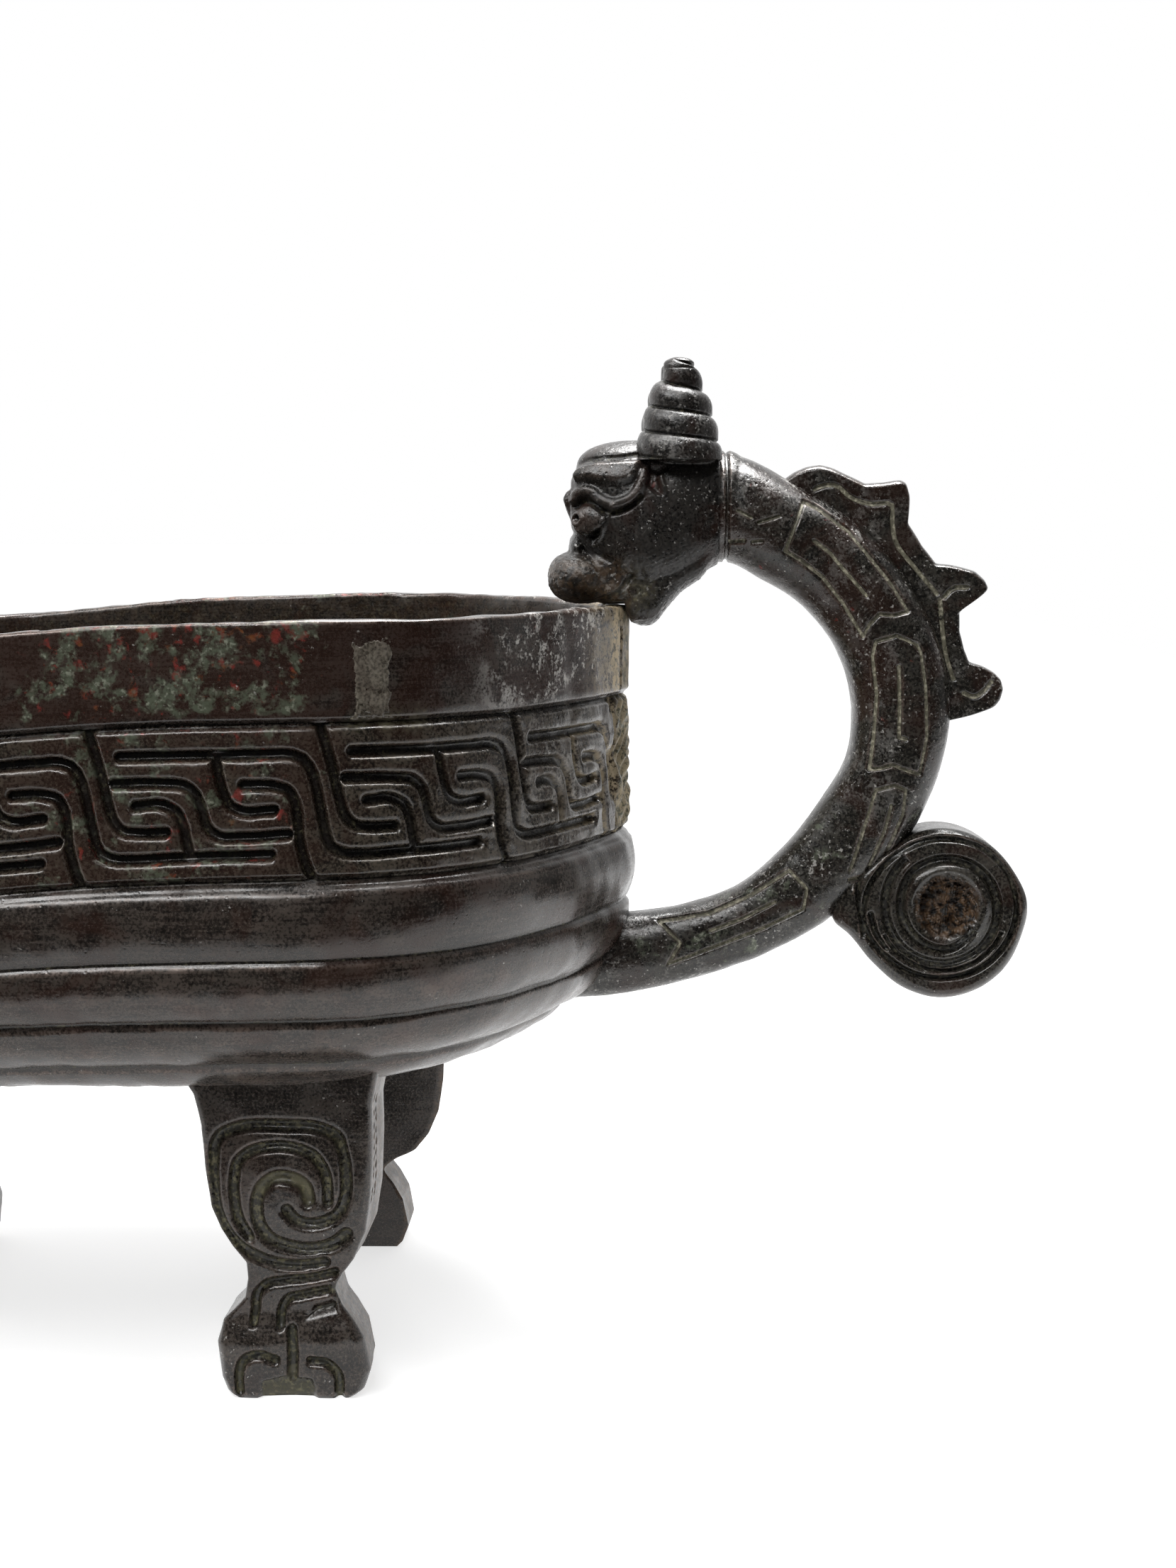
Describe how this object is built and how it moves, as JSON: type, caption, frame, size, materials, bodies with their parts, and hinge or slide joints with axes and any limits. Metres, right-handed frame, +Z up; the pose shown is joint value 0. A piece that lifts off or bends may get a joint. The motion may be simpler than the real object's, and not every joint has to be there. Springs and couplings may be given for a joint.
{
  "type": "bronze pouring vessel",
  "caption": "Bronze yi pouring vessel: oval bowl with an open spout, meander frieze, flat carved legs and a coiled dragon handle that bites the rim.",
  "frame": {"origin": "on the ground plane under the middle of the overall length, on the plane of symmetry", "axes": "+X from the spout towards the handle, +Y away from the side that the picture shows, +Z up"},
  "size_m": [0.3263, 0.14, 0.183],
  "materials": {
    "bronze": "dark brown-black patinated cast bronze, satin, with red and green corrosion",
    "older_bronze": "dull greenish patinated bronze"
  },
  "bodies": {
    "root": {"bowl": "bronze", "rim_spacer": "older_bronze", "leg_rear_near": "bronze", "leg_rear_far": "bronze", "leg_front_near": "bronze", "leg_front_far": "bronze", "handle": "bronze", "dragon_head": "bronze", "horn_near": "bronze", "horn_far": "bronze"}
  },
  "joints": []
}
